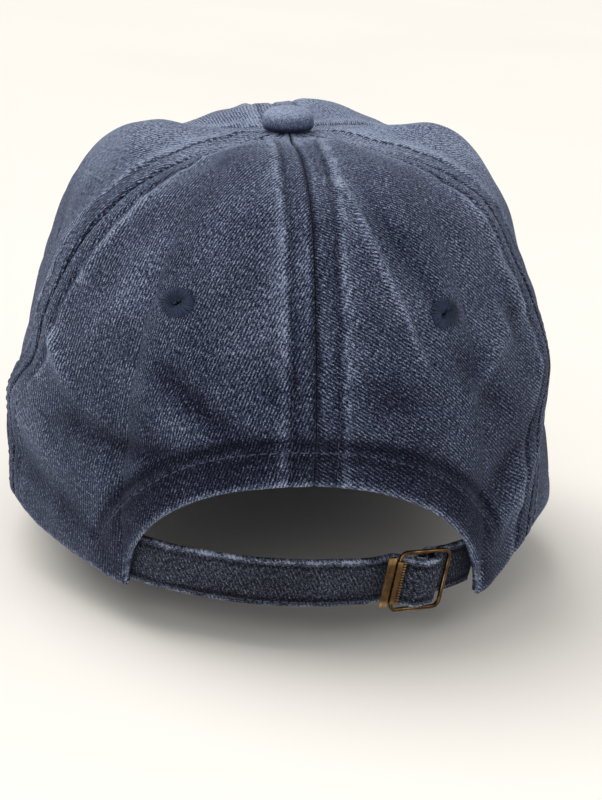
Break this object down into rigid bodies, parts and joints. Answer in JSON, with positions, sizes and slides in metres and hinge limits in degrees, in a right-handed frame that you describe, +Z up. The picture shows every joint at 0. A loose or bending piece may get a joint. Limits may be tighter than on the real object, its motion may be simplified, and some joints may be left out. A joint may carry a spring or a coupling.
{
  "type": "baseball cap",
  "caption": "Soft unstructured cotton cap with a curved visor and a rear strap closed by a metal tuck buckle.",
  "frame": {"origin": "centre of the head opening, in the plane of the crown's lower edge at the back", "axes": "+Z up through the button, -Y towards the visor, +Y towards the rear strap, +X the wearer's left"},
  "size_m": [0.1732, 0.2557, 0.1423],
  "materials": {
    "cap_cloth": "washed navy cotton twill, faded along the seams",
    "inner_cloth": "navy cotton tape and sweatband cloth",
    "strap_cloth": "dark navy cotton twill, folded and topstitched",
    "eyelet_thread": "navy embroidery thread",
    "brass": "antique brass, rubbed bright along its edges",
    "steel": "pressed steel",
    "board": "plain plastic sheet",
    "label": "blank woven label"
  },
  "bodies": {
    "crown": {"back_panel_left": "cap_cloth", "side_panel_left": "cap_cloth", "front_panel_left": "cap_cloth", "front_panel_right": "cap_cloth", "side_panel_right": "cap_cloth", "back_panel_right": "cap_cloth", "back_eyelet_left": "eyelet_thread", "side_eyelet_left": "eyelet_thread", "front_eyelet_left": "eyelet_thread", "front_eyelet_right": "eyelet_thread", "side_eyelet_right": "eyelet_thread", "back_eyelet_right": "eyelet_thread", "seam_tape_back": "inner_cloth", "seam_tape_rear_left": "inner_cloth", "seam_tape_fore_left": "inner_cloth", "seam_tape_front": "inner_cloth", "seam_tape_fore_right": "inner_cloth", "seam_tape_rear_right": "inner_cloth", "arch_facing": "inner_cloth", "sweatband": "inner_cloth", "care_label": "label", "button_cover": "cap_cloth", "button_shell": "steel", "button_shank": "steel", "button_washer": "steel", "visor_top_cloth": "cap_cloth", "visor_board": "board", "visor_under_cloth": "cap_cloth", "strap": "strap_cloth", "buckle_tab": "strap_cloth"},
    "buckle": {"buckle_frame": "brass"},
    "clamp": {"buckle_clamp": "brass"},
    "tail": {"strap_tail": "strap_cloth"}
  },
  "joints": [
    {"name": "buckle_rock", "type": "hinge", "parent": "crown", "child": "buckle", "pos_m": [-0.03168, 0.08484, 0.00557], "axis": [-0.1173, 0.0409, 0.9923], "range_deg": [-3, 3]},
    {"name": "clamp_lever", "type": "hinge", "parent": "buckle", "child": "clamp", "pos_m": [-0.02476, 0.09002, 0.00618], "axis": [-0.1173, 0.0409, 0.9923], "range_deg": [0, 75]},
    {"name": "tail_slide", "type": "hinge", "parent": "crown", "child": "tail", "pos_m": [0, 0.0172, 0.0054], "axis": [0, 0, 1], "range_deg": [0, 5.4]}
  ]
}
